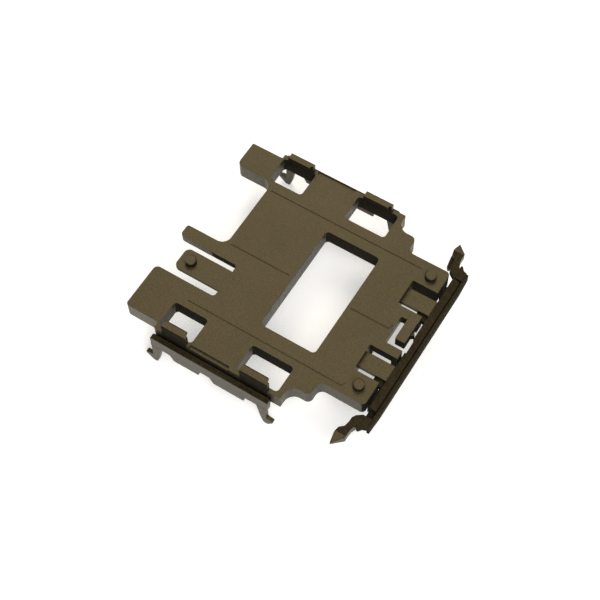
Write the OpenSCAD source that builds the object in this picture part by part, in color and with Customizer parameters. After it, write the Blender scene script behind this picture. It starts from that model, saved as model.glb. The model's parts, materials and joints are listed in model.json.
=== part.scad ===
// Carrier for a small processor board: a flat moulded plate with open forks at one end, sprung
// clips and hooks along both sides, and an end bar with barbs that hangs on two thin tongues.
// X runs from the forks to the end bar, Y runs across, Z is up, and z = 0 is the standing surface.
// Outlines are drawn about the plate's top face, and place() lifts them onto the hook feet.

/* [Plate] */
// Depth of the plate's walls, and of the plate as a whole
plate_t = 3.6; // [3.2:0.1:4.0]
// Thickness of the top skin above the pockets underneath
skin_t = 1.1; // [0.9:0.1:1.6]
// Half of the plate's width across the clip walls
plate_half_w = 23.4; // [23.3:0.05:23.5]
// End of the clip walls beside the forks
wall_left = -19.1; // [-19.3:0.1:-19.1]
// End of the clip walls beside the end bar
wall_right = 9.25; // [9:0.05:9.4]
// Inner end of the fork notch, where the plate proper begins
notch_x = -17.6; // [-18:0.1:-17.5]
// Edge of the plate that faces the end bar
plate_right = 23.15; // [23:0.05:23.2]
// Half of the plate's width beside the end bar
nose_half_w = 16.45; // [16:0.05:16.8]

/* [Windows] */
// Edge of the large window beside the forks
main_window_left = -2.3; // [-2.6:0.1:-1.5]
// Edge of the large window beside the end bar
main_window_right = 9.8; // [9:0.1:10]
// Half of the large window's width
main_window_half_w = 12.15; // [11:0.05:12.5]
// Start of the clip windows nearer the forks
left_window_x = -18.75; // [-18.8:0.05:-18.3]
// Length of the clip windows nearer the forks
left_window_l = 7.65; // [7:0.05:8]
// Start of the clip windows nearer the end bar
right_window_x = -1.1; // [-1.4:0.1:-0.6]
// Length of the clip windows nearer the end bar
right_window_l = 9.2; // [8.6:0.1:9.4]
// Inner edge of every clip window, measured from the centre line
clip_window_y = 16.65; // [16.4:0.05:17]

/* [Clips] */
// Start of the clips nearer the forks
left_clip_x = -17.3; // [-17.6:0.1:-16.6]
// Length of the clips nearer the forks
left_clip_l = 5.5; // [4.5:0.1:5.8]
// Start of the clips nearer the end bar
right_clip_x = 0.3; // [-0.2:0.1:0.8]
// Length of the clips nearer the end bar
right_clip_l = 6.1; // [5:0.1:6.5]
// Inner face of the clip walls, measured from the centre line
clip_wall_y = 22.5; // [22.4:0.05:22.6]
// Thickness of a clip's wall
clip_wall_t = 0.8; // [0.7:0.05:0.85]
// Height of the clips above the plate
clip_h = 2.1; // [1.8:0.1:2.6]
// Thickness of the lip at a clip's top
clip_lip_t = 0.6; // [0.4:0.05:0.8]
// How far the lip reaches over the board
clip_lip_reach = 0.95; // [0.6:0.05:1.2]

/* [Rails and hooks] */
// Inner face of the side rails, measured from the centre line
rail_inner_y = 23.7; // [23.6:0.05:23.9]
// Thickness of the side rails
rail_t = 1.1; // [1.0:0.05:1.4]
// End of the side rails beside the forks
rail_left = -19.35; // [-19.8:0.05:-19.35]
// End of the side rails beside the end bar
rail_right = 7.2; // [6.8:0.1:8.4]
// Drop of the rails' top edge below the plate's top face
rail_drop = 2.0; // [1.6:0.1:2.4]
// Height of the side rails
rail_h = 3.2; // [2.8:0.1:3.6]
// Start of the skirts nearer the forks
left_skirt_x = -14.5; // [-15:0.1:-14]
// Length of the skirts nearer the forks
left_skirt_l = 6.0; // [5:0.1:7]
// Start of the skirts nearer the end bar
right_skirt_x = -5.35; // [-5.8:0.05:-5]
// Length of the skirts nearer the end bar
right_skirt_l = 7.15; // [6:0.05:7.5]
// Depth of the skirts below the rail
skirt_drop = 1.7; // [1.2:0.1:2.2]
// Length of the hooks below the rail
hook_drop = 6.3; // [5.8:0.1:7]
// Width of a hook's leg at its root
hook_w = 2.1; // [1.8:0.1:2.2]
// Thickness of a hook, across the part
hook_t = 0.85; // [0.7:0.05:0.9]
// Centre of the hooks nearer the forks, along X
left_hook_x = -18.3; // [-18.3:0.1:-17.8]
// Centre of the hooks nearer the end bar, along X
right_hook_x = 5.7; // [5.2:0.1:6]
// How far the toes nearer the forks reach out from the leg's centre
left_toe_reach = 2.85; // [2.3:0.05:3.2]
// How far the toes nearer the end bar reach out from the leg's centre
right_toe_reach = 2.45; // [2.3:0.05:3.2]

/* [Fork springs] */
// Free end of the guide finger
finger_tip_x = -26.55; // [-26.6:0.05:-25]
// Root of the guide finger
finger_root_x = -19.7; // [-20:0.1:-19.2]
// Near face of the guide finger
finger_y = -3.75; // [-3.8:0.05:-3.5]
// Width of the guide finger
finger_w = 2.8; // [2.4:0.1:3.2]
// Thickness of the guide finger
finger_t = 1.6; // [1.2:0.1:2]
// Free end of the spring tongue
tongue_tip_x = -23.6; // [-24.5:0.1:-23]
// Root of the spring tongue and of the slots beside it
tongue_root_x = -13.1; // [-13.4:0.1:-13.1]
// Near edge of the spring tongue
tongue_y = -10.25; // [-10.4:0.05:-10]
// Width of the spring tongue
tongue_w = 4.9; // [4.5:0.1:5.1]
// Thickness of the spring tongue
tongue_t = 0.7; // [0.6:0.05:0.9]

/* [Pegs] */
// Diameter of the locating pegs
peg_d = 2.3; // [2:0.1:2.6]
// Height of the locating pegs
peg_h = 1.2; // [1:0.1:1.6]
// Place of the plate's two locating pegs, along X
peg_x = 20.3; // [19.8:0.1:20.8]
// Distance of those pegs from the centre line
peg_y = 13.6; // [13:0.1:14]
// Place of the spring tongue's peg, along X
tongue_peg_x = -21.1; // [-21.5:0.1:-20]
// Place of the spring tongue's peg, along Y
tongue_peg_y = -7.85; // [-8.2:0.05:-7.4]

/* [Latch] */
// Face of the latch finger that looks away from the end bar
latch_inner_x = 21.0; // [20.8:0.05:21.1]
// Width of the latch finger
latch_w = 2.1; // [1.9:0.05:2.1]
// Free end of the latch finger
latch_tip_y = -1.4; // [-1.8:0.1:-1]
// Root of the latch finger
latch_root_y = 3.4; // [3.35:0.05:3.6]
// Thickness of the latch finger
latch_t = 2.4; // [2:0.1:3]

/* [End bar] */
// Inner face of the bar
bar_inner_x = 23.8; // [23.7:0.05:23.9]
// Width of the bar's ledge
ledge_w = 1.45; // [1.3:0.05:1.5]
// Width of the bar's outer lip, with the groove beside it
lip_w = 0.85; // [0.7:0.05:1]
// Half of the bar's length over the lip
bar_half_l = 19.2; // [19.1:0.05:19.3]
// Near end of the bar's raised ledge
ledge_near_y = -15.6; // [-16:0.1:-15]
// Far end of the bar's raised ledge
ledge_far_y = 16.5; // [15:0.1:16.6]
// Near edge of the near tongue that carries the bar
near_tongue_y = -9.5; // [-9.8:0.1:-9.3]
// Near edge of the far tongue that carries the bar
far_tongue_y = 6.65; // [6.4:0.05:6.8]
// Width of the tongues that carry the bar
bar_tongue_w = 3.5; // [2.8:0.1:3.6]
// Thickness of the tongues that carry the bar
bar_tongue_t = 0.9; // [0.8:0.05:1]
// Near edge of the near tongue's notch
near_notch_y = -10.95; // [-11.2:0.05:-10.8]
// Near edge of the far tongue's notch
far_notch_y = 5.3; // [5.1:0.05:5.5]
// Width of the notches that the tongues lie in
bar_notch_w = 6.0; // [5.6:0.1:6.2]
// Inner end of those notches
bar_notch_x = 17.7; // [17.4:0.1:18]

/* [Hidden] */

$fn = 48;
play = 0.05;                                  // radial play of every flexing root in its seat
eps = 0.01;
plastic = [0.36, 0.32, 0.235];

// Edges and extents, as [low, high] pairs along the axis that each name ends in
main_window_x = [main_window_left, main_window_right];
clip_window_x = [
    [left_window_x, left_window_x + left_window_l],
    [right_window_x, right_window_x + right_window_l]
];
clip_x = [[left_clip_x, left_clip_x + left_clip_l], [right_clip_x, right_clip_x + right_clip_l]];
rail_y = [rail_inner_y, rail_inner_y + rail_t];
rail_x = [rail_left, rail_right];
rail_z = [-rail_drop, -rail_drop - rail_h];
skirt_x = [
    [left_skirt_x, left_skirt_x + left_skirt_l],
    [right_skirt_x, right_skirt_x + right_skirt_l]
];
skirt_z = rail_z[1] - skirt_drop;
hook_x = [left_hook_x, right_hook_x];
finger_y_span = [finger_y, finger_y + finger_w];
tongue_y_span = [tongue_y, tongue_y + tongue_w];
latch_x = [latch_inner_x, latch_inner_x + latch_w];
latch_y = [latch_tip_y, latch_root_y];
ledge_y = [ledge_near_y, ledge_far_y];
bar_tongue_y = [for (y = [near_tongue_y, far_tongue_y]) [y, y + bar_tongue_w]];
bar_notch_y = [for (y = [near_notch_y, far_notch_y]) [y, y + bar_notch_w]];
step_x = [-11.0, -2.3];                       // stretch of the long edges that is stepped down

bar_x = [bar_inner_x, bar_inner_x + ledge_w, bar_inner_x + ledge_w + lip_w];
far_fork = [-26.2, 16.3, 22.35];              // end, inner face and outer face of the far fork
near_fork = [-26.65, -11.8, -22.0];
latch_slot = [19.75, -3.0, 3.25];             // left edge, low end and high end of the L-shaped slot
beam_z = -2.8;                                // top of the beam that carries a clip
web_z = -2.95;                                // top of the web between the plate and a rail
bar_tongue_z = -1.2;                          // top face of the bar's tongues
bar_low_z = -4.0;
lip_z = [-2.35, -4.35];
barb_z = [-2.1, -3.9];
barb_base_z = -3.45;                          // underside of the flat root that a barb turns in
barb_root = [22.9, 19.0];                     // centre of a barb's flexing root
barb_root_r = 0.95;
strip_t = 2.2;                                // depth of the plate around the latch slot
strip_end = plate_right + 0.4;                // end of the strip beside that slot
groove = [0.24, 0.14];                        // width and depth of the witness grooves
ridge = [0.25, 0.2];                          // width and height of the ridge along a rail's top

origin_x = -(near_fork[0] + bar_x[2]) / 2;    // centres the part between the near fork and the bar
stand_h = -rail_z[1] + hook_drop;             // height of the plate's top face over the feet

// ---- outline helpers ----

function unit(v) = v / norm(v);

// The points that round the corner p, between its neighbours a and b, with radius r.
function corner(a, p, b, r, steps = 7) =
    r <= 0 ? [p] :
    let (
        u = unit(a - p),
        w = unit(b - p),
        half = acos(u * w) / 2,
        centre = p + unit(u + w) * r / sin(half),
        from = p + u * r / tan(half) - centre,
        to = p + w * r / tan(half) - centre,
        start = atan2(from[1], from[0]),
        sweep = (180 - 2 * half) * sign(cross(from, to))
    )
    [for (i = [0 : steps])
        let (angle = start + sweep * i / steps)
        centre + r * [cos(angle), sin(angle)]];

function xy(p) = [p[0], p[1]];

// An outline of [x, y, corner radius] points, with its corners rounded.
function rounded(path) =
    let (n = len(path))
    [for (i = [0 : n - 1])
        each corner(xy(path[(i + n - 1) % n]), xy(path[i]), xy(path[(i + 1) % n]), path[i][2])];

module place() {
    translate([origin_x, 0, stand_h]) children();
}

// Draws its children on the near side, -Y, as the mirror image of the far side.
module near() {
    mirror([0, 1, 0]) children();
}

// A solid between heights z0 and z1, with an outline in plan.
module slab(path, z0, z1) {
    translate([0, 0, z0]) linear_extrude(z1 - z0) polygon(rounded(path));
}

// A solid between y0 and y1, with an outline of [x, z, radius] points seen from the side.
module side_slab(path, y0, y1) {
    translate([0, y1, 0]) rotate([90, 0, 0]) linear_extrude(y1 - y0) polygon(rounded(path));
}

// A solid between x0 and x1, with an outline of [y, z, radius] points seen along X.
module end_slab(path, x0, x1) {
    translate([x0, 0, 0]) rotate([90, 0, 90]) linear_extrude(x1 - x0) polygon(rounded(path));
}

module box(low, high) {
    translate(low) cube(high - low);
}

module rod_x(y, z, r, x0, x1) {
    translate([x0, y, z]) rotate([0, 90, 0]) cylinder(r = r, h = x1 - x0);
}

module rod_y(x, z, r, y0, y1) {
    translate([x, y0, z]) rotate([-90, 0, 0]) cylinder(r = r, h = y1 - y0);
}

module rod_z(at, r, z0, z1) {
    translate([at[0], at[1], z0]) cylinder(r = r, h = z1 - z0);
}

function rectangle(x, y, r) = [[x[0], y[0], r], [x[1], y[0], r], [x[1], y[1], r], [x[0], y[1], r]];

// ---- carrier plate ----

plate_outline = [
    [near_fork[0], near_fork[2], 0.7], [wall_left, near_fork[2], 0.4],
    [wall_left, -plate_half_w, 0.2], [wall_right, -plate_half_w, 0.2],
    [wall_right, -19.95, 2.2], [13.6, -19.95, 1.1], [13.6, -nose_half_w, 1.4],
    [plate_right, -nose_half_w, 0.9],
    [plate_right, bar_notch_y[0][0], 0.1], [bar_notch_x, bar_notch_y[0][0], 0.2],
    [bar_notch_x, bar_notch_y[0][1], 0.2], [strip_end, bar_notch_y[0][1], 0.1],
    [strip_end, latch_slot[1], 0.1], [latch_slot[0], latch_slot[1], 0.3],
    [latch_slot[0], latch_slot[2], 0.3], [latch_x[0] - play, latch_slot[2], 0],
    [latch_x[0] - play, latch_y[1], 0], [plate_right, latch_y[1], 0],
    [plate_right, bar_notch_y[1][0], 0.1], [bar_notch_x, bar_notch_y[1][0], 0.2],
    [bar_notch_x, bar_notch_y[1][1], 0.2], [plate_right, bar_notch_y[1][1], 0.1],
    [plate_right, nose_half_w, 0.9],
    [13.6, nose_half_w, 1.4], [13.6, 19.95, 1.1], [wall_right, 19.95, 2.2],
    [wall_right, plate_half_w, 0.2], [wall_left, plate_half_w, 0.2],
    [wall_left, far_fork[2], 0.2], [far_fork[0], far_fork[2], 0.2],
    [far_fork[0], far_fork[1], 1.2], [notch_x, far_fork[1], 2.3],
    [notch_x, finger_y_span[1], 2.0], [finger_root_x, finger_y_span[1], 0],
    [finger_root_x, finger_y_span[0], 0], [tongue_root_x, finger_y_span[0], 0.7],
    [tongue_root_x, near_fork[1], 0.7], [near_fork[0], near_fork[1], 1.0]
];

// Pockets under the plate, as [x0, y0, x1, y1], that leave the skin, the walls and the ribs.
pockets = [
    [-25.6, -21.0, -19.9, -12.8],
    [-25.2, 17.3, -19.9, 21.4],
    [-21.0, 0.2, -13.9, 15.2],
    [-12.1, -11.6, -3.3, -0.9], [-12.1, 0.1, -3.3, 11.9],
    [-17.7, -15.7, -3.3, -12.7], [-12.1, 12.9, -3.3, 15.7],
    [-10.1, -21.6, -2.1, -16.7], [-10.1, 16.7, -2.1, 21.6],
    [-1.3, 13.1, 9.0, 15.7], [-1.3, -15.7, 9.0, -13.1],
    [10.8, -15.5, 16.7, -0.8], [10.8, 0.2, 16.7, 15.5],
    [10.0, 16.5, 12.6, 18.9], [10.0, -18.9, 12.6, -16.5]
];

// Shallower hollows around the latch slot, that open into it and into the bar's notches.
slot_hollows = [
    [bar_notch_x + 0.5, bar_notch_y[0][1] - 1, latch_x[1] - 0.8, latch_slot[2] - 1],
    [bar_notch_x + 0.5, latch_slot[1], latch_x[0] - 0.3, bar_notch_y[1][0] + 1]
];

// Fine grooves in the top face, where the plate's mould inserts met, as runs of [x, y] points.
groove_runs = [
    [[-16.8, 14.4], [17.8, 14.4]],
    [[-16.8, -0.3], [-3.2, -0.3]],
    [[10.6, -0.3], [19.0, -0.3], [19.2, 0.8]],
    [[-16.9, -15.15], [17.5, -15.15], [17.8, -14.3]]
];

module groove_run(run) {
    for (i = [1 : len(run) - 1]) {
        step = run[i] - run[i - 1];
        translate([run[i - 1][0], run[i - 1][1], -groove[1]])
            rotate([0, 0, atan2(step[1], step[0])])
                translate([0, -groove[0] / 2, 0]) cube([norm(step), groove[0], 1]);
    }
}

// The seat for a clip: the wall is cut down to a beam with a round hollow along its top.
module clip_seat(x) {
    box([x[0] - play, clip_wall_y - 0.3, beam_z], [x[1] + play, plate_half_w + 1, 1]);
    rod_x(clip_wall_y + clip_wall_t / 2, beam_z, clip_wall_t / 2 + play, x[0] - play, x[1] + play);
}

module side_cuts() {
    for (x = clip_window_x)
        slab(rectangle(x, [clip_window_y, clip_wall_y], 0.7), -plate_t - 1, 1);
    for (x = clip_x) clip_seat(x);
    box([step_x[0], 22.75, -0.5], [step_x[1], plate_half_w + 1, 1]);
}

module carrier_plate() {
    tongue_axis = bar_tongue_z - bar_tongue_t / 2;
    place() color(plastic) difference() {
        slab(plate_outline, -plate_t, 0);
        slab(rectangle(main_window_x, [-main_window_half_w, main_window_half_w], 0.8), -plate_t - 1, 1);
        side_cuts();
        near() side_cuts();
        for (p = pockets)
            slab(rectangle([p[0], p[2]], [p[1], p[3]], 0.6), -plate_t - 1, -skin_t);
        for (p = slot_hollows)
            slab(rectangle([p[0], p[2]], [p[1], p[3]], 0.6), -plate_t - 1, -strip_t);
        for (run = groove_runs) groove_run(run);
        // thin root of the guide finger, and the thin edge that runs on from it to the slot's end
        box(
            [finger_root_x - 1, finger_y_span[0] - 0.3, -plate_t - 1],
            [notch_x + 1, finger_y_span[1] + 1, -finger_t]
        );
        box(
            [notch_x, finger_y_span[0] - 0.3, -plate_t - 1],
            [tongue_root_x - 0.4, finger_y_span[1] - 0.6, -finger_t]
        );
        rod_y(finger_root_x, -finger_t / 2, finger_t / 2 + play, finger_y_span[0] - 1, finger_y_span[1] + 1);
        // seat of the spring tongue
        rod_y(
            tongue_root_x, -tongue_t / 2, tongue_t / 2 + play,
            tongue_y_span[0] - play, tongue_y_span[1] + play
        );
        // seats of the bar's tongues
        for (y = bar_tongue_y)
            rod_y(bar_notch_x, tongue_axis, bar_tongue_t / 2 + play, y[0] - play, y[1] + play);
        // seat of the latch finger
        rod_z([latch_x[0] + latch_w / 2, latch_y[1]], latch_w / 2 + play, -latch_t - play, 1);
    }
}

// ---- side rails ----

rail_outline = [
    [rail_x[0], rail_z[0], 0.3], [rail_x[0], rail_z[1], 0],
    [skirt_x[0][0] - 0.6, rail_z[1], 0.7], [skirt_x[0][0] + 0.2, skirt_z, 0.3],
    [skirt_x[0][1], skirt_z, 0.3], [skirt_x[0][1], rail_z[1], 0.3],
    [skirt_x[1][0] - 0.6, rail_z[1], 0.5], [skirt_x[1][0] + 0.2, skirt_z, 0.3],
    [skirt_x[1][1], skirt_z, 0.3], [skirt_x[1][1], rail_z[1], 0.3],
    [rail_x[1], rail_z[1], 0.2], [rail_x[1], rail_z[0], 0.3]
];

module far_rail() {
    place() color(plastic) difference() {
        union() {
            side_slab(rail_outline, rail_y[0], rail_y[1]);
            box(
                [rail_x[0] + 0.4, rail_y[0], rail_z[0] - eps],
                [rail_x[1] - 0.4, rail_y[0] + ridge[0], rail_z[0] + ridge[1]]
            );
            box([wall_left, plate_half_w, -plate_t], [rail_x[1], rail_y[0] + eps, web_z]);
        }
        for (x = hook_x)
            rod_y(x, rail_z[1], hook_w / 2 + play, rail_y[1] - hook_t - play, rail_y[1] + 1);
    }
}

module far_side_rail() {
    far_rail();
}

module near_side_rail() {
    near() far_rail();
}

// ---- pegs ----

// A peg with a small bevel round its top edge.
module peg(at) {
    bevel = 0.2;
    r = peg_d / 2;
    place() color(plastic) translate([at[0], at[1], 0])
        rotate_extrude() polygon([[0, 0], [r, 0], [r, peg_h - bevel], [r - bevel, peg_h], [0, peg_h]]);
}

module far_locating_peg() {
    peg([peg_x, peg_y]);
}

module near_locating_peg() {
    peg([peg_x, -peg_y]);
}

module tongue_peg() {
    peg([tongue_peg_x, tongue_peg_y]);
}

// ---- fork springs ----

// A flat spring that runs towards the forks from a round root, with two corner radii at its tip.
module fork_spring(tip_x, root_x, y, t, tip_r) {
    outline = [[root_x, y[0], 0], [root_x, y[1], 0], [tip_x, y[1], tip_r[1]], [tip_x, y[0], tip_r[0]]];
    place() color(plastic) {
        slab(outline, -t, 0);
        rod_y(root_x, -t / 2, t / 2, y[0], y[1]);
    }
}

module guide_finger() {
    fork_spring(finger_tip_x, finger_root_x, finger_y_span, finger_t, [1.0, 0.5]);
}

module spring_tongue() {
    fork_spring(tongue_tip_x, tongue_root_x, tongue_y_span, tongue_t, [1.2, 1.2]);
}

// ---- latch finger ----

module latch_finger() {
    r = latch_w / 2;
    body = [
        [latch_x[0], latch_y[0], 0.2], [latch_x[1], latch_y[0], 0.2],
        [latch_x[1], latch_y[1], 0], [latch_x[0], latch_y[1], 0]
    ];
    nub = [
        [latch_x[1] - 0.3, 0.9, 0], [latch_x[1] + 0.5, 1.35, 0.15],
        [latch_x[1] + 0.5, 1.75, 0.15], [latch_x[1] - 0.3, 2.2, 0]
    ];
    place() color(plastic) {
        slab(body, -latch_t, 0);
        rod_z([latch_x[0] + r, latch_y[1]], r, -latch_t, 0);
        slab(nub, -latch_t, -0.9);
    }
}

// ---- clips ----

// A clip on the far side, between x[0] and x[1].
module far_clip(x) {
    outer = clip_wall_y + clip_wall_t;
    lip_y = clip_wall_y - clip_lip_reach;
    under = clip_h - clip_lip_t;
    profile = [
        [outer, beam_z, 0], [outer, clip_h, 0.25], [lip_y + 0.35, clip_h, 0], [lip_y, clip_h - 0.3, 0],
        [lip_y, under, 0.1], [clip_wall_y, under, 0.15], [clip_wall_y, beam_z, 0]
    ];
    plan = [
        [x[0], lip_y - 0.1, 0.4], [x[1] - 0.5, lip_y - 0.1, 0.5], [x[1] - 0.5, clip_wall_y, 0.4],
        [x[1], clip_wall_y, 0], [x[1], outer + 0.1, 0], [x[0], outer + 0.1, 0]
    ];
    place() color(plastic) {
        intersection() {
            end_slab(profile, x[0], x[1]);
            slab(plan, beam_z - 1, clip_h + 1);
        }
        rod_x(clip_wall_y + clip_wall_t / 2, beam_z, clip_wall_t / 2, x[0], x[1]);
    }
}

module far_left_clip() {
    far_clip(clip_x[0]);
}

module far_right_clip() {
    far_clip(clip_x[1]);
}

module near_left_clip() {
    near() far_clip(clip_x[0]);
}

module near_right_clip() {
    near() far_clip(clip_x[1]);
}

// ---- hooks ----

// A hook on the far side whose toe points along +X: centre of the leg, and reach of the toe.
module far_hook(reach) {
    r = hook_w / 2;
    leg = [
        [-r, 0, 0], [r, 0, 0], [r + 0.05, -3.9, 0.35],
        [reach, -4.25, 0.15], [reach, -4.75, 0.3], [r + 0.2, -hook_drop, 0.5],
        [0.35, -hook_drop, 0.5], [-0.25, -4.3, 1.5]
    ];
    color(plastic) translate([0, 0, rail_z[1]]) {
        side_slab(leg, rail_y[1] - hook_t, rail_y[1]);
        rod_y(0, 0, r, rail_y[1] - hook_t, rail_y[1]);
    }
}

module right_hook() {
    place() translate([hook_x[1], 0, 0]) far_hook(right_toe_reach);
}

module left_hook() {
    place() translate([hook_x[0], 0, 0]) mirror([1, 0, 0]) far_hook(left_toe_reach);
}

module far_left_hook() {
    left_hook();
}

module far_right_hook() {
    right_hook();
}

module near_left_hook() {
    near() left_hook();
}

module near_right_hook() {
    near() right_hook();
}

// ---- end bar ----

ledge_profile = [
    [bar_x[0], bar_tongue_z, 0.1], [bar_x[0], bar_low_z, 0], [bar_x[1], bar_low_z, 0],
    [bar_x[1], bar_tongue_z - 0.65, 0.1], [bar_x[0] + 0.35, bar_tongue_z, 0.1]
];

lip_outline = [
    [bar_x[1] + 0.13, -bar_half_l, 0], [bar_x[2] - 0.2, -bar_half_l, 0.15], [bar_x[2], -15.5, 6],
    [bar_x[2], 15.5, 6], [bar_x[2] - 0.2, bar_half_l, 0.15], [bar_x[1] + 0.13, bar_half_l, 0]
];

// The flat root of the far barb, from the pocket at the ledge's end out to the lip.
barb_base = [
    [bar_x[1] + 0.2, 17.2, 0], [23.5, 17.2, 0.3], [22.35, 18.05, 0], [barb_root[0], barb_root[1], 0],
    [23.7, barb_root[1], 0], [23.65, 20.2, 0.15], [24.1, 20.2, 0.25], [24.6, 19.5, 0.3],
    [bar_x[1] + 0.2, bar_half_l, 0]
];

module far_bar_end() {
    difference() {
        slab(barb_base, barb_base_z, barb_z[0]);
        rod_z(barb_root, barb_root_r + play, barb_z[1] - 1, barb_z[0] + 1);
    }
}

module end_bar() {
    place() color(plastic) {
        difference() {
            side_slab(ledge_profile, ledge_y[0], ledge_y[1]);
            box([bar_x[0] - 1, -2.5, bar_low_z - 1], [bar_x[0] + 0.3, 0.85, 1]);
        }
        slab(lip_outline, lip_z[1], lip_z[0]);
        // floor that ties the ledge, the lip and the barb roots together
        box([bar_x[0], -bar_half_l + 1.5, bar_low_z], [bar_x[1] + 0.3, bar_half_l - 1.5, bar_low_z + 0.6]);
        // floors under the bar's tongues, one step wider than the tongue on the near side
        for (i = [0, 1])
            box(
                [21.4, bar_notch_y[i][0] + 0.2, -3.4],
                [bar_x[0] + eps, bar_tongue_y[i][1], bar_tongue_z - bar_tongue_t]
            );
        far_bar_end();
        near() far_bar_end();
    }
}

module bar_tongue(y) {
    r = bar_tongue_t / 2;
    place() color(plastic) {
        box([bar_notch_x, y[0], bar_tongue_z - bar_tongue_t], [bar_x[0], y[1], bar_tongue_z]);
        rod_y(bar_notch_x, bar_tongue_z - r, r, y[0], y[1]);
    }
}

module near_bar_tongue() {
    bar_tongue(bar_tongue_y[0]);
}

module far_bar_tongue() {
    bar_tongue(bar_tongue_y[1]);
}

// ---- barbs ----

// The far barb: a flat arrow head, thinned from above and below towards its point.
module far_barb_solid() {
    arrow = [
        [20.9, 25.05, 0.1], [20.6, 22.9, 0.5], [20.85, 21.65, 0.3], [21.7, 20.9, 0.4], [21.95, 19.7, 0.3],
        [barb_root[0] - barb_root_r, barb_root[1], 0], [barb_root[0] + barb_root_r, barb_root[1], 0],
        [23.1, 20.8, 0.5], [23.0, 21.6, 0.3], [23.0, 22.95, 0.4]
    ];
    head_y = 22.6;
    above = [[head_y, barb_z[0] + eps, 0], [25.6, barb_z[0] - 1.3, 0], [25.6, barb_z[0] + eps, 0]];
    below = [[head_y, barb_z[1] - eps, 0], [25.6, barb_z[1] - eps, 0], [25.6, barb_z[1] + 0.4, 0]];
    place() color(plastic) {
        difference() {
            slab(arrow, barb_z[1], barb_z[0]);
            end_slab(above, 20, 24);
            end_slab(below, 20, 24);
        }
        rod_z(barb_root, barb_root_r, barb_z[1], barb_z[0]);
    }
}

// The low web that only the far barb has, along its inner edge.
far_barb_web = [
    [20.65, 23.3, 0.3], [20.75, 21.4, 0], [21.1, 19.2, 0.2], [21.55, 18.7, 0.2],
    [22.05, 19.1, 0], [22.3, 20.0, 0], [22.2, 23.2, 0.3]
];

module far_barb() {
    far_barb_solid();
    place() color(plastic) slab(far_barb_web, barb_z[1], -3.1);
}

module near_barb() {
    near() far_barb_solid();
}

carrier_plate();
near_side_rail();
far_side_rail();
near_locating_peg();
far_locating_peg();
guide_finger();
spring_tongue();
tongue_peg();
latch_finger();
near_left_clip();
near_right_clip();
far_left_clip();
far_right_clip();
near_left_hook();
near_right_hook();
far_left_hook();
far_right_hook();
end_bar();
near_bar_tongue();
far_bar_tongue();
near_barb();
far_barb();
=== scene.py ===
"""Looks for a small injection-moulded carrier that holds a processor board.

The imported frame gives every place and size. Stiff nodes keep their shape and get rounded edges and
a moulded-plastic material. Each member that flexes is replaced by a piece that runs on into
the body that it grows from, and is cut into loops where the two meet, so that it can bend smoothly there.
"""

import json
import math

import bmesh
import bpy
from mathutils import Matrix, Vector
from mathutils.bvhtree import BVHTree


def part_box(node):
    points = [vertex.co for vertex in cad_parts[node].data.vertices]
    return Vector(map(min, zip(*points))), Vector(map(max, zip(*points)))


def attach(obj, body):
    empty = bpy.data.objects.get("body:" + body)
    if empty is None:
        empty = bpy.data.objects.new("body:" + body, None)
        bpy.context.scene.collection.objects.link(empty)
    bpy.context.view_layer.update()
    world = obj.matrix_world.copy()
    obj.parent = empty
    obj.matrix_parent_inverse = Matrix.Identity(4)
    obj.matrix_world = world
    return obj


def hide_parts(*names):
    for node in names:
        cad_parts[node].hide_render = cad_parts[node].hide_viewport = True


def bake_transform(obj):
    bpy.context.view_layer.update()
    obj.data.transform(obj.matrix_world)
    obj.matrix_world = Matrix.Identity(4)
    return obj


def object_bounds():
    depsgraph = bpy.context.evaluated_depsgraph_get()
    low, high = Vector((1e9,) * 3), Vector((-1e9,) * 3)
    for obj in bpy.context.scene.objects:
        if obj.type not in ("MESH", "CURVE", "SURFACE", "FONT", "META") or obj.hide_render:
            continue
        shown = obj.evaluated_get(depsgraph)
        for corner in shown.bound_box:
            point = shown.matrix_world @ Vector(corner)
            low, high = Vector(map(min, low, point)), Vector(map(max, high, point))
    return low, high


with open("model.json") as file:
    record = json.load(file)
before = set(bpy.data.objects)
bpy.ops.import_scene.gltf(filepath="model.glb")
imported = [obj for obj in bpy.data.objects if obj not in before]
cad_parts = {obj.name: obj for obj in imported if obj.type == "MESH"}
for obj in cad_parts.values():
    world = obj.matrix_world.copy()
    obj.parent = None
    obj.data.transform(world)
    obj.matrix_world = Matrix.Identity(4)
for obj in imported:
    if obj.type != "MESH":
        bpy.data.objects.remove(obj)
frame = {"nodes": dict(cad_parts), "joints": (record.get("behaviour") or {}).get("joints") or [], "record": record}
cad_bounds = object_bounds()

MM = 0.001

# ---- where things are, from the frame ----

JOINTS = {joint["name"]: joint for joint in frame["joints"]}
PLATE_LOW, PLATE_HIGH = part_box("carrier_plate")
PLATE_TOP = PLATE_HIGH.z
CENTRE_X = (cad_bounds[0].x + cad_bounds[1].x) / 2

# ---- camera ----

SENSOR = 36.0
LENS = 79.31
AZIMUTH = math.radians(33.13)
ELEVATION = math.radians(61.08)
ROLL = math.radians(1.367)
CAMERA_DISTANCE = 253.35 * MM
CLIP_RANGE = (0.01, 10.0)
# The point on the plate's top face that the camera looks at, from the middle of the part.
AIM = Vector((1.675 * MM, -3.8 * MM, 0.0))


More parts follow.
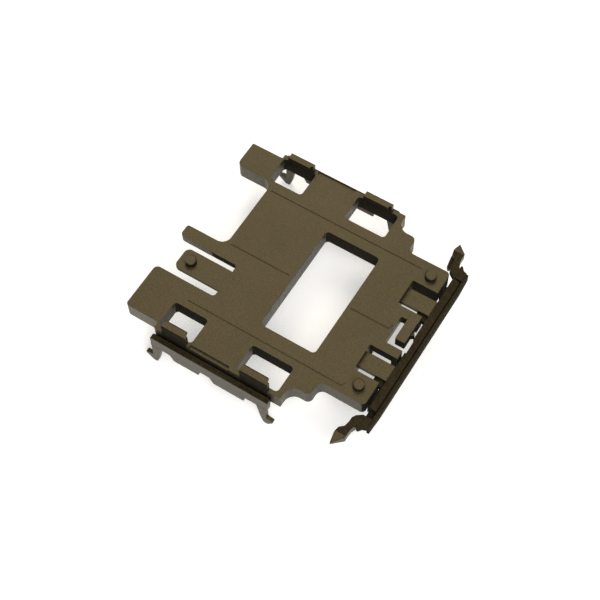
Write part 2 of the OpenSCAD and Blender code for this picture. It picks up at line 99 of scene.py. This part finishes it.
def make_camera():
    back = Vector((
        math.sin(AZIMUTH) * math.cos(ELEVATION),
        -math.cos(AZIMUTH) * math.cos(ELEVATION),
        math.sin(ELEVATION),
    ))
    right = Vector((math.cos(AZIMUTH), math.sin(AZIMUTH), 0.0))
    up = back.cross(right)
    tilted_right = right * math.cos(ROLL) - up * math.sin(ROLL)
    tilted_up = right * math.sin(ROLL) + up * math.cos(ROLL)
    data = bpy.data.cameras.new("camera")
    data.sensor_width = SENSOR
    data.lens = LENS
    data.clip_start, data.clip_end = CLIP_RANGE
    camera = bpy.data.objects.new("camera", data)
    target = Vector((CENTRE_X, 0.0, PLATE_TOP)) + AIM
    turn = Matrix((tilted_right, tilted_up, back)).transposed().to_4x4()
    camera.matrix_world = Matrix.Translation(target + back * CAMERA_DISTANCE) @ turn
    bpy.context.scene.collection.objects.link(camera)
    bpy.context.scene.camera = camera


# ---- light and floor ----

SKY = 0.30
SKY_COLOUR = (1.0, 0.985, 0.95, 1.0)
# Softboxes, aimed at the origin: name, place, size, power in watts, colour.
SOFTBOXES = [
    ("key_softbox", (-0.17, 0.27, 0.50), 0.30, 1.4, (1.0, 0.94, 0.80)),
    ("front_softbox", (0.25, -0.25, 0.45), 0.40, 2.4, (1.0, 0.99, 0.97)),
]
# The floor is a pale matte sheet that glows a little, and lies a hair below the part.
FLOOR_COLOUR = (0.86, 0.855, 0.85, 1.0)
FLOOR_ROUGHNESS = 0.7
FLOOR_GLOW = 0.42
FLOOR_GLOW_COLOUR = (1.0, 0.985, 0.97, 1.0)
FLOOR_HALF_WIDTH = 1.5
FLOOR_DROP = 0.02 * MM


def make_lights():
    world = bpy.data.worlds.new("studio")
    world.use_nodes = True
    background = world.node_tree.nodes["Background"]
    background.inputs["Color"].default_value = SKY_COLOUR
    background.inputs["Strength"].default_value = SKY
    bpy.context.scene.world = world
    for name, place, size, power, colour in SOFTBOXES:
        data = bpy.data.lights.new(name, "AREA")
        data.shape = "SQUARE"
        data.size = size
        data.energy = power
        data.color = colour
        light = bpy.data.objects.new(name, data)
        light.location = place
        towards = -Vector(place)
        light.rotation_mode = "QUATERNION"
        light.rotation_quaternion = towards.to_track_quat("-Z", "Y")
        bpy.context.scene.collection.objects.link(light)


def make_floor():
    half = FLOOR_HALF_WIDTH
    mesh = bpy.data.meshes.new("floor")
    corners = [(-half, -half, 0), (half, -half, 0), (half, half, 0), (-half, half, 0)]
    mesh.from_pydata(corners, [], [(0, 1, 2, 3)])
    floor = bpy.data.objects.new("floor", mesh)
    floor.location.z = -FLOOR_DROP
    bpy.context.scene.collection.objects.link(floor)
    material = bpy.data.materials.new("pale_floor")
    material.use_nodes = True
    shader = material.node_tree.nodes["Principled BSDF"]
    shader.inputs["Base Color"].default_value = FLOOR_COLOUR
    shader.inputs["Roughness"].default_value = FLOOR_ROUGHNESS
    shader.inputs["Emission Color"].default_value = FLOOR_GLOW_COLOUR
    shader.inputs["Emission Strength"].default_value = FLOOR_GLOW
    floor.data.materials.append(material)


# ---- material ----


class Graph:
    """Short names for the nodes of one material."""

    def __init__(self, name):
        self.material = bpy.data.materials.new(name)
        self.material.use_nodes = True
        self.tree = self.material.node_tree
        self.shader = self.tree.nodes["Principled BSDF"]
        coordinates = self.add("ShaderNodeTexCoord")
        self.place = coordinates.outputs["Object"]
        self.facing = coordinates.outputs["Normal"]

    def add(self, kind, **settings):
        node = self.tree.nodes.new(kind)
        for key, value in settings.items():
            setattr(node, key, value)
        return node

    def link(self, source, target):
        self.tree.links.new(source, target)

    def noise(self, size_mm, detail, roughness):
        """Noise whose grain is about size_mm across."""
        node = self.add("ShaderNodeTexNoise")
        node.inputs["Scale"].default_value = 1.0 / (size_mm * MM)
        node.inputs["Detail"].default_value = detail
        node.inputs["Roughness"].default_value = roughness
        self.link(self.place, node.inputs["Vector"])
        return node.outputs["Fac"]

    def range(self, value, low, high, to_low, to_high):
        """A value whose span from low to high is stretched to another span."""
        node = self.add("ShaderNodeMapRange")
        self.link(value, node.inputs["Value"])
        node.inputs["From Min"].default_value = low
        node.inputs["From Max"].default_value = high
        node.inputs["To Min"].default_value = to_low
        node.inputs["To Max"].default_value = to_high
        return node.outputs["Result"]

    def maths(self, operation, a, b):
        """One operation on two values, each a number or a socket."""
        node = self.add("ShaderNodeMath", operation=operation)
        for socket, value in zip(node.inputs, (a, b)):
            if isinstance(value, (int, float)):
                socket.default_value = value
            else:
                self.link(value, socket)
        return node.outputs["Value"]

    def mix(self, share, a, b, blend="MIX"):
        """A mix of two colours, which are the node's seventh and eighth inputs."""
        node = self.add("ShaderNodeMix", data_type="RGBA", blend_type=blend)
        for socket, value in (
            (node.inputs["Factor"], share),
            (node.inputs[6], a),
            (node.inputs[7], b),
        ):
            if isinstance(value, bpy.types.NodeSocket):
                self.link(value, socket)
            else:
                socket.default_value = value
        return node.outputs[2]

    def bump(self, height, strength, depth_mm, normal):
        node = self.add("ShaderNodeBump")
        node.inputs["Strength"].default_value = strength
        node.inputs["Distance"].default_value = depth_mm * MM
        self.link(height, node.inputs["Height"])
        self.link(normal, node.inputs["Normal"])
        return node.outputs["Normal"]


# Pigment of the eroded, matte faces, in its two tones, and of the smooth faces that stand upright.
# The matte faces' lighter pigment is in part painted sheen.
OLIVE = (0.043, 0.0350, 0.0150, 1.0)
BROWN = (0.049, 0.0335, 0.0190, 1.0)
UPRIGHT_PIGMENT = (0.016, 0.0135, 0.0095, 1.0)
SHEEN_TINT = (1.0, 0.84, 0.52, 1.0)
WORN = (0.13, 0.115, 0.085, 1.0)
IOR = 1.52

# Noises: grain size in mm, detail, roughness.
NOISES = {
    "drift": (7.0, 2.0, 0.55),
    "patches": (1.1, 4.0, 0.60),
    "grain": (0.26, 5.0, 0.75),
    "clots": (0.55, 3.0, 0.60),
    "cloud": (11.0, 2.0, 0.55),
    "sides": (0.6, 4.0, 0.55),
    "rubs": (0.8, 3.0, 0.55),
}
# Where most values of a noise lie, and the narrower spans that give the tones firmer edges.
NOISE_SPAN = (0.3, 0.7)
DRIFT_SPAN = (0.38, 0.62)
PATCH_SPAN = (0.35, 0.65)
RUB_SPAN = (0.42, 0.68)
# How much each noise darkens and lightens the pigment of the matte faces, and of the sides.
MOTTLE = (("grain", 0.40, 1.60), ("clots", 0.60, 1.40), ("cloud", 0.92, 1.08))
SIDE_MOTTLE = (0.7, 1.3)
# The size of a normal's part along Z over which smooth sides turn into matte faces.
SIDE_TO_FLAT = (0.45, 0.85)
ROUGHNESS_DRIFT = 0.07
# Worn edges: rounding, cosine of the turn from unworn to worn, and least and most wear.
EDGE_RADIUS = 0.10 * MM
EDGE_SAMPLES = 6
EDGE_TURN = (0.985, 0.80)
WEAR = (0.05, 0.45)
# Relief: shares of grain and clots, strength, and depth in mm.
GRAIN_RELIEF = 0.8
CLOT_RELIEF = 0.9
RELIEF_STRENGTH = 0.8
RELIEF_DEPTH = 0.04


def flat_share(g):
    """1 on faces across the mould's draw, 0 on faces along it."""
    facing = g.add("ShaderNodeSeparateXYZ")
    g.link(g.facing, facing.inputs[0])
    return g.range(g.maths("ABSOLUTE", facing.outputs["Z"], 0.0), *SIDE_TO_FLAT, 0.0, 1.0)


def mottled_pigment(g, noises, depth):
    """The matte faces' two tones, mixed by broad drift and small patches, then mottled."""
    drift = g.range(noises["drift"], *DRIFT_SPAN, 0.0, 1.0)
    patches = g.range(noises["patches"], *PATCH_SPAN, 0.0, 1.0)
    share = g.maths("ADD", g.maths("MULTIPLY", drift, 0.5), g.maths("MULTIPLY", patches, 0.5))
    # depth below 1 darkens the pigment: painted shade on the plastic's shaded copies.
    pigment = g.mix(share, scaled(OLIVE, depth), scaled(BROWN, depth))
    for layer, low, high in MOTTLE:
        factor = g.range(noises[layer], *NOISE_SPAN, low, high)
        pigment = g.mix(1.0, pigment, factor, "MULTIPLY")
    return pigment


def edge_wear(g, rounded, noises):
    """How far edges have rubbed lighter, from how much the rounded normal turns from the true."""
    geometry = g.add("ShaderNodeNewGeometry")
    dot = g.add("ShaderNodeVectorMath", operation="DOT_PRODUCT")
    g.link(rounded, dot.inputs[0])
    g.link(geometry.outputs["True Normal"], dot.inputs[1])
    edge = g.range(dot.outputs["Value"], *EDGE_TURN, 0.0, 1.0)
    return g.maths("MULTIPLY", edge, g.range(noises["rubs"], *RUB_SPAN, *WEAR))


def plastic(name, depth=1.0, matte=0.52, smooth=0.42, level=0.5):
    """Olive-brown moulded plastic. Faces across the mould's draw are eroded matte, with mottled
    pigment and fine grain, lighter in part as painted sheen. Faces along it are smooth and darker. depth
    scales the matte pigment, and below 1 paints shade; matte and smooth are the two kinds' roughness, and
    level is the strength of reflections, turned down on the copies that paint shade."""
    g = Graph(name)
    noises = {part: g.noise(*settings) for part, settings in NOISES.items()}
    flatness = flat_share(g)
    bevel = g.add("ShaderNodeBevel", samples=EDGE_SAMPLES)
    bevel.inputs["Radius"].default_value = EDGE_RADIUS
    rounded = bevel.outputs["Normal"]
    side = g.mix(1.0, UPRIGHT_PIGMENT, g.range(noises["sides"], *NOISE_SPAN, *SIDE_MOTTLE), "MULTIPLY")
    # Level faces get the lighter pigment, in part painted sheen; upright faces get the darker one.
    base = g.mix(flatness, side, mottled_pigment(g, noises, depth))
    base = g.mix(edge_wear(g, rounded, noises), base, WORN)
    g.link(base, g.shader.inputs["Base Color"])
    rough = g.range(flatness, 0.0, 1.0, smooth, matte)
    drift = g.range(noises["clots"], *NOISE_SPAN, -ROUGHNESS_DRIFT, ROUGHNESS_DRIFT)
    g.link(g.maths("ADD", rough, drift), g.shader.inputs["Roughness"])
    g.shader.inputs["IOR"].default_value = IOR
    g.shader.inputs["Specular IOR Level"].default_value = level
    g.shader.inputs["Specular Tint"].default_value = SHEEN_TINT
    grain = g.maths("MULTIPLY", noises["grain"], GRAIN_RELIEF)
    relief = g.maths("ADD", grain, g.maths("MULTIPLY", noises["clots"], CLOT_RELIEF))
    normal = g.bump(relief, RELIEF_STRENGTH, RELIEF_DEPTH, rounded)
    g.link(normal, g.shader.inputs["Normal"])
    return g.material


def scaled(colour, factor):
    return tuple(channel * factor for channel in colour[:3]) + (1.0,)


# ---- mesh helpers ----

BEVEL = 0.06 * MM
BEVEL_SEGMENTS = 2
SHARP = math.radians(32)
# Root blocks stand this far off the faces they would otherwise share a plane with.
LIFT = 0.004 * MM
WELD = 0.5e-6
FLAT_TURN = math.radians(0.6)
CUT_SNAP = 1e-7


def copy_of(node, name):
    """A new object with a node's welded mesh, its flat areas as single faces."""
    source = frame["nodes"][node].data
    mesh = bpy.data.meshes.new(name)
    faces = [tuple(face.vertices) for face in source.polygons]
    mesh.from_pydata([v.co.copy() for v in source.vertices], [], faces)
    edit = bmesh.new()
    edit.from_mesh(mesh)
    bmesh.ops.remove_doubles(edit, verts=edit.verts, dist=WELD)
    bmesh.ops.dissolve_limit(edit, angle_limit=FLAT_TURN, verts=edit.verts, edges=edit.edges)
    edit.to_mesh(mesh)
    edit.free()
    piece = bpy.data.objects.new(name, mesh)
    bpy.context.scene.collection.objects.link(piece)
    return piece


def prism(outline, low, high):
    """A closed solid between heights low and high, over an outline of (x, y) points."""
    edit = bmesh.new()
    bottom = [edit.verts.new((x, y, low)) for x, y in outline]
    top = [edit.verts.new((x, y, high)) for x, y in outline]
    edit.faces.new(bottom)
    edit.faces.new(top)
    for i in range(len(outline)):
        j = (i + 1) % len(outline)
        edit.faces.new((bottom[i], bottom[j], top[j], top[i]))
    bmesh.ops.recalc_face_normals(edit, faces=edit.faces)
    mesh = bpy.data.meshes.new("block")
    edit.to_mesh(mesh)
    edit.free()
    block = bpy.data.objects.new("block", mesh)
    bpy.context.scene.collection.objects.link(block)
    return block


def block_between(low, high):
    outline = [(low.x, low.y), (high.x, low.y), (high.x, high.y), (low.x, high.y)]
    return prism(outline, low.z, high.z)


def join(piece, block):
    """Adds a block to a piece as one closed solid."""
    union = piece.modifiers.new("union", "BOOLEAN")
    union.operation = "UNION"
    union.solver = "EXACT"
    union.object = block
    bpy.context.view_layer.update()
    evaluated = piece.evaluated_get(bpy.context.evaluated_depsgraph_get())
    mesh = bpy.data.meshes.new_from_object(evaluated)
    piece.modifiers.clear()
    piece.data = mesh
    bpy.data.objects.remove(block)


def slice_across(piece, start, end, cuts):
    """Cuts loops across a piece between two points, so that it can bend there."""
    edit = bmesh.new()
    edit.from_mesh(piece.data)
    along = end - start
    for i in range(cuts + 1):
        bmesh.ops.bisect_plane(
            edit,
            geom=edit.verts[:] + edit.edges[:] + edit.faces[:],
            dist=CUT_SNAP,
            plane_co=start + along * (i / cuts),
            plane_no=along.normalized(),
        )
    edit.to_mesh(piece.data)
    edit.free()


def finish_edges(piece):
    """Smooth shading with rounded edges."""
    for polygon in piece.data.polygons:
        polygon.use_smooth = True
    piece.data.set_sharp_from_angle(angle=SHARP)
    bevel = piece.modifiers.new("edges", "BEVEL")
    bevel.width = BEVEL
    bevel.segments = BEVEL_SEGMENTS
    bevel.limit_method = "ANGLE"
    bevel.angle_limit = SHARP
    bevel.use_clamp_overlap = True
    bevel.harden_normals = False


# The plastic's three looks: plain; darker, as painted shade on low faces in shade; and darker still with dimmed
# reflections, as deeper painted shade on walls in recesses, between parts and facing -Y.
PALE, PAINTED_SHADE, PAINTED_DEEP_SHADE = range(3)
# Parts of a face's normal along an axis: clearly towards it, mostly along it, and dead level.
FLAT = 0.35
MOSTLY = 0.5
LEVEL = 0.95


def dress(piece, plastics, painted_shade_of=None):
    """Gives a piece the plain plastic and its copies with painted shade, and each face the one that the given rule
    names for it.
    """
    piece.data.materials.clear()
    for material in plastics:
        piece.data.materials.append(material)
    for face in piece.data.polygons:
        face.material_index = painted_shade_of(face) if painted_shade_of else PALE


# Painted shade on faces that look up; the rails' tops lie low beside the plate's higher wall.
def shade_painted_top(face):
    return PAINTED_SHADE if face.normal.z > FLAT else PALE


# Painted shade on a barb's level top and on its underside.
def shade_painted_flats(face):
    return PAINTED_SHADE if face.normal.z > LEVEL or face.normal.z < -FLAT else PALE


# On the bar: deeper painted shade with dimmed reflections on its walls, painted shade on its tops and undersides.
def shade_painted_bar(face):
    return PAINTED_DEEP_SHADE if abs(face.normal.z) < FLAT else PAINTED_SHADE


# Deeper painted shade, with dimmed reflections, on every face but the tops: sides and undersides.
def deep_shade_painted_walls(face):
    return PAINTED_DEEP_SHADE if face.normal.z < FLAT else PALE


# Deeper painted shade, with dimmed reflections, on walls facing -Y; walls facing +Y stay plain.
def deep_shade_painted_near_walls(face):
    return PAINTED_DEEP_SHADE if face.normal.y < -FLAT else PALE


# ---- members that flex ----

# How far a flexing piece runs on into the body that it grows from, and the length over which each
# kind of member bends.
ROOT = 1.1 * MM
FORK_BEND = 1.8 * MM
LATCH_BEND = 2.4 * MM
CLIP_BEND = 2.6 * MM
HOOK_BEND = 2.2 * MM
BAR_BEND = 3.2 * MM
BARB_BEND = 1.6 * MM
CUTS = 8
# What the roots' blocks add to a member's own size.
LATCH_ROOT_EXTRA = 0.1 * MM
CLIP_ROOT_BELOW = 0.6 * MM
CLIP_ROOT_ABOVE = 0.8 * MM
HOOK_ROOT_EXTRA = 0.06 * MM


def axis_vector(letter):
    sign = -1.0 if letter[0] == "-" else 1.0
    return Vector([sign if letter[-1] == axis else 0.0 for axis in "xyz"])


def lift_top(piece):
    """Lifts a piece's top face a hair, level with a root block that lies over the plate's top."""
    top = max(v.co.z for v in piece.data.vertices)
    for vertex in piece.data.vertices:
        if vertex.co.z > top - LIFT:
            vertex.co.z += LIFT


def flex(node, joint, towards, block, bend, level=False):
    """Replaces a node by a piece cut into loops at its joint, so that it can bend there, with a root block joined
    to it.
    """
    piece = copy_of(node, node + "_flexing")
    if level:
        lift_top(piece)
    join(piece, block)
    pivot = Vector(JOINTS[joint]["pos_m"])
    end = pivot + axis_vector(towards) * bend
    slice_across(piece, pivot, end, CUTS)
    finish_edges(piece)
    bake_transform(piece)
    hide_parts(node)
    return piece


def fork_springs(plastics):
    for node in ("guide_finger", "spring_tongue"):
        joint = node + "_flex"
        pivot = Vector(JOINTS[joint]["pos_m"])
        low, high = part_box(node)
        block = block_between(
            Vector((pivot.x - ROOT, low.y + LIFT, low.z + LIFT)),
            Vector((pivot.x + ROOT, high.y - LIFT, high.z + LIFT)),
        )
        dress(flex(node, joint, "-x", block, FORK_BEND, level=True), plastics)


def latch(plastics):
    joint = "latch_finger_flex"
    pivot = Vector(JOINTS[joint]["pos_m"])
    low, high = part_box("latch_finger")
    half = high.y - pivot.y
    block = block_between(
        Vector((pivot.x - half, pivot.y - ROOT, low.z + LIFT)),
        Vector((pivot.x + half, pivot.y + ROOT + LATCH_ROOT_EXTRA, high.z + LIFT)),
    )
    finger = flex("latch_finger", joint, "-y", block, LATCH_BEND, level=True)
    dress(finger, plastics, deep_shade_painted_walls)


def clips(plastics):
    for side in ("near", "far"):
        for column in ("left", "right"):
            node = f"{side}_{column}_clip"
            joint = node + "_flex"
            pivot = Vector(JOINTS[joint]["pos_m"])
            low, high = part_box(node)
            half = pivot.z - low.z
            block = block_between(
                Vector((low.x - LIFT, pivot.y - half - LIFT, pivot.z - CLIP_ROOT_BELOW)),
                Vector((high.x + LIFT, pivot.y + half + LIFT, pivot.z + CLIP_ROOT_ABOVE)),
            )
            dress(flex(node, joint, "z", block, CLIP_BEND), plastics, deep_shade_painted_near_walls)


def hooks(plastics):
    for side in ("near", "far"):
        for column in ("left", "right"):
            node = f"{side}_{column}_hook"
            joint = node + "_flex"
            pivot = Vector(JOINTS[joint]["pos_m"])
            low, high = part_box(node)
            half = high.z - pivot.z + HOOK_ROOT_EXTRA
            far, near = (LIFT, 0.0) if side == "far" else (0.0, LIFT)
            block = block_between(
                Vector((pivot.x - half, low.y - near, pivot.z)),
                Vector((pivot.x + half, high.y + far, pivot.z + half)),
            )
            dress(flex(node, joint, "-z", block, HOOK_BEND), plastics)


def bar_tongues(plastics):
    joint = "end_bar_flex"
    pivot_x = JOINTS[joint]["pos_m"][0]
    for node in ("near_bar_tongue", "far_bar_tongue"):
        low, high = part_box(node)
        block = block_between(
            Vector((pivot_x - ROOT, low.y + LIFT, low.z + LIFT)),
            Vector((pivot_x + ROOT, high.y - LIFT, high.z - LIFT)),
        )
        dress(flex(node, joint, "x", block, BAR_BEND), plastics)


# The bridge from a barb's root to the bar, about the root's centre, for the far side, in mm.
BARB_BRIDGE = [
    (-0.55, -0.95), (0.1, -1.42), (1.4, -1.25), (1.5, 0.3), (0.78, 0.62), (0.4, 0.8), (-0.8, -0.3),
]
BARB_BRIDGE_DEPTH = 1.34 * MM


def barbs(plastics):
    bridge_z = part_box("near_barb")[1].z
    for side, sign in (("near", -1.0), ("far", 1.0)):
        node = side + "_barb"
        joint = node + "_flex"
        pivot = Vector(JOINTS[joint]["pos_m"])
        outline = [(pivot.x + x * MM, pivot.y + sign * y * MM) for x, y in BARB_BRIDGE]
        block = prism(outline, bridge_z - BARB_BRIDGE_DEPTH, bridge_z + LIFT)
        outward = "y" if side == "far" else "-y"
        dress(flex(node, joint, outward, block, BARB_BEND), plastics, shade_painted_flats)


# ---- members that stay stiff ----

# Where the plate's walls get painted shade: how far a wall looks for one that faces it, from how far off
# itself and how high up, and how near the plate's end a wall faces the bar.
WINDOW_REACH = 25 * MM
RAY_START = 0.05 * MM
RAY_HEIGHT = 0.3 * MM
BAR_REACH = 1.0 * MM


def plate_painted_shade(plate):
    """Where the carrier plate gets painted shade: deeper painted shade, with dimmed reflections, on walls that
    face another wall or the bar.
    """
    mesh = plate.data
    corners = [vertex.co for vertex in mesh.vertices]
    walls = BVHTree.FromPolygons(corners, [list(face.vertices) for face in mesh.polygons])
    towards = axis_vector("-y")

    def painted_shade_of(face):
        if abs(face.normal.z) > FLAT:
            return PALE
        if face.normal.x > MOSTLY and face.center.x > PLATE_HIGH.x - BAR_REACH:
            return PAINTED_DEEP_SHADE
        if face.normal.y > -MOSTLY:
            return PALE
        low = Vector((face.center.x, face.center.y - RAY_START, PLATE_LOW.z + RAY_HEIGHT))
        return PAINTED_DEEP_SHADE if walls.ray_cast(low, towards, WINDOW_REACH)[0] else PALE

    return painted_shade_of


# Low feet inside the bar that close its gap to the plate's corners: their ends along Y, in mm.
BAR_FEET = [(-15.6, -11.4), (11.6, 14.4)]
BAR_FOOT_REACH = 0.36 * MM
BAR_FOOT_OVERLAP = 0.3 * MM
BAR_FOOT_BOTTOM = 0.4 * MM
BAR_FOOT_TOP = 0.6 * MM
# The bar's upper face towards the plate lies within this of the bar's top.
BAR_TOP_BAND = 0.3 * MM


def bar_feet(bar):
    low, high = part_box("end_bar")
    face = min(v.co.x for v in bar.data.vertices if v.co.z > high.z - BAR_TOP_BAND)
    for start, end in BAR_FEET:
        join(bar, block_between(
            Vector((face - BAR_FOOT_REACH, start * MM, low.z + BAR_FOOT_BOTTOM)),
            Vector((face + BAR_FOOT_OVERLAP, end * MM, high.z - BAR_FOOT_TOP)),
        ))


# The stiff nodes beside the carrier plate, with the rules that give their faces painted shade.
PAINTED_SHADE_RULES = {
    "near_side_rail": shade_painted_top,
    "far_side_rail": shade_painted_top,
    "near_locating_peg": deep_shade_painted_walls,
    "far_locating_peg": deep_shade_painted_walls,
    "tongue_peg": deep_shade_painted_walls,
    "end_bar": shade_painted_bar,
}


def stiff_members(plastics):
    bodies = frame["record"]["behaviour"]["bodies"]
    for node in ["carrier_plate", *PAINTED_SHADE_RULES]:
        body = next(name for name, members in bodies.items() if node in members)
        piece = copy_of(node, node + "_moulded")
        # Which of the piece's faces get painted shade.
        painted_shade_rule = plate_painted_shade(piece) if node == "carrier_plate" else PAINTED_SHADE_RULES[node]
        if node == "end_bar":
            bar_feet(piece)
        finish_edges(piece)
        dress(piece, plastics, painted_shade_rule)
        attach(piece, body)
        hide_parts(node)


make_camera()
make_lights()
make_floor()
bpy.context.scene.view_settings.view_transform = "Standard"
# The plain plastic, then two copies whose darker pigment and dimmed reflections paint shade: a lighter shade and a
# deeper one.
plastics = (
    plastic("plate_plastic"),
    plastic("painted_shade_plastic", depth=0.52, matte=0.60, smooth=0.55, level=0.10),
    plastic("painted_deep_shade_plastic", depth=0.30, matte=0.60, smooth=0.70, level=0.03),
)
stiff_members(plastics)
fork_springs(plastics)
latch(plastics)
clips(plastics)
hooks(plastics)
bar_tongues(plastics)
barbs(plastics)
